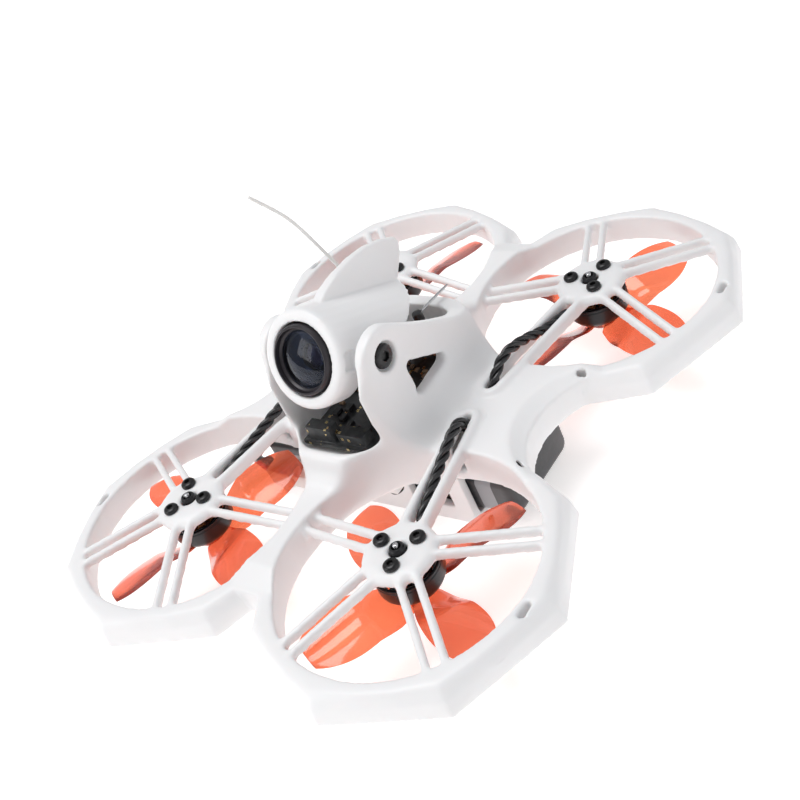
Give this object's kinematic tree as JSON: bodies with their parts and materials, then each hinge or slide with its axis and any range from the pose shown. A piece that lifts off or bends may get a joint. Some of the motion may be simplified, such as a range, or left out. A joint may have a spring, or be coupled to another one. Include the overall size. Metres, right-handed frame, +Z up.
{
  "type": "micro racing drone",
  "caption": "Small ducted racing drone with downward rotors in ring guards, a tilting nose camera under a finned canopy, and a slide-in battery in a belly tray.",
  "frame": {"origin": "middle of the footprint, on the ground under the battery tray", "axes": "+X to the drone's left, +Y to its tail, so the nose is -Y, and +Z up"},
  "size_m": [0.0954, 0.1124, 0.0574],
  "materials": {
    "white_plastic": "smooth moulded nylon with a soft sheen",
    "black_steel": "black oxide screws",
    "bright_steel": "bright ground or plated steel",
    "motor_black": "satin black anodised motor parts",
    "red_clear_plastic": "clear red polycarbonate, glossy",
    "circuit_black": "black solder mask and moulded chips",
    "wire_black": "glossy black silicone insulation",
    "wire_red": "glossy red silicone insulation",
    "lens_black": "dark anodised lens ring",
    "lens_clear": "dark coated glass",
    "battery_wrap": "dark shrink wrap",
    "plug_white": "milky nylon",
    "flex_orange": "thin flexible circuit"
  },
  "bodies": {
    "airframe": {"main_frame": "white_plastic", "battery_tray": "white_plastic", "tray_screw_1": "black_steel", "tray_screw_2": "black_steel", "tray_screw_3": "black_steel", "tray_screw_4": "black_steel", "motor_base_front_left": "motor_black", "motor_screw_front_left_1": "black_steel", "motor_screw_front_left_2": "black_steel", "motor_screw_front_left_3": "black_steel", "motor_leads_front_left": "wire_black", "motor_base_front_right": "motor_black", "motor_screw_front_right_1": "black_steel", "motor_screw_front_right_2": "black_steel", "motor_screw_front_right_3": "black_steel", "motor_leads_front_right": "wire_black", "motor_base_rear_left": "motor_black", "motor_screw_rear_left_1": "black_steel", "motor_screw_rear_left_2": "black_steel", "motor_screw_rear_left_3": "black_steel", "motor_leads_rear_left": "wire_black", "motor_base_rear_right": "motor_black", "motor_screw_rear_right_1": "black_steel", "motor_screw_rear_right_2": "black_steel", "motor_screw_rear_right_3": "black_steel", "motor_leads_rear_right": "wire_black", "flight_controller": "circuit_black", "video_transmitter": "circuit_black", "short_antenna_base": "circuit_black", "usb_port": "bright_steel", "bind_switch": "bright_steel", "short_antenna_rod": "bright_steel", "board_socket": "plug_white", "whip_antenna": "plug_white", "camera_ribbon": "flex_orange", "board_lead_red": "wire_red", "board_lead_black": "wire_black"},
    "camera": {"camera_pod": "white_plastic", "camera_body": "circuit_black", "lens_barrel": "lens_black", "lens_glass": "lens_clear", "pivot_screw_left": "black_steel", "pivot_screw_right": "black_steel"},
    "battery_pack": {"battery": "battery_wrap", "battery_lead_red": "wire_red", "battery_lead_black": "wire_black", "battery_plug": "plug_white"},
    "bind_key": {"bind_button": "plug_white"},
    "rotor_front_left": {"motor_bell_front_left": "motor_black", "motor_shaft_front_left": "bright_steel", "propeller_front_left": "red_clear_plastic"},
    "rotor_front_right": {"motor_bell_front_right": "motor_black", "motor_shaft_front_right": "bright_steel", "propeller_front_right": "red_clear_plastic"},
    "rotor_rear_left": {"motor_bell_rear_left": "motor_black", "motor_shaft_rear_left": "bright_steel", "propeller_rear_left": "red_clear_plastic"},
    "rotor_rear_right": {"motor_bell_rear_right": "motor_black", "motor_shaft_rear_right": "bright_steel", "propeller_rear_right": "red_clear_plastic"}
  },
  "joints": [
    {"name": "rotor_spin_front_left", "type": "hinge", "parent": "airframe", "child": "rotor_front_left", "pos_m": [0.0221, -0.0306, 0.0116], "axis": [0, 0, 1], "continuous": true},
    {"name": "rotor_spin_front_right", "type": "hinge", "parent": "airframe", "child": "rotor_front_right", "pos_m": [-0.0221, -0.0306, 0.0116], "axis": [0, 0, 1], "continuous": true},
    {"name": "rotor_spin_rear_left", "type": "hinge", "parent": "airframe", "child": "rotor_rear_left", "pos_m": [0.0221, 0.0306, 0.0116], "axis": [0, 0, 1], "continuous": true},
    {"name": "rotor_spin_rear_right", "type": "hinge", "parent": "airframe", "child": "rotor_rear_right", "pos_m": [-0.0221, 0.0306, 0.0116], "axis": [0, 0, 1], "continuous": true},
    {"name": "camera_tilt", "type": "hinge", "parent": "airframe", "child": "camera", "pos_m": [0, -0.0076, 0.0331], "axis": [1, 0, 0], "range_deg": [-13, 27]},
    {"name": "battery_slide", "type": "slide", "parent": "airframe", "child": "battery_pack", "axis": [-1, 0, 0], "range_m": [0, 0.05]},
    {"name": "bind_press", "type": "slide", "parent": "airframe", "child": "bind_key", "axis": [0, 0, -1], "range_m": [0, 0.00025], "stiffness_N_per_m": 600, "springref_m": -0.0003}
  ]
}
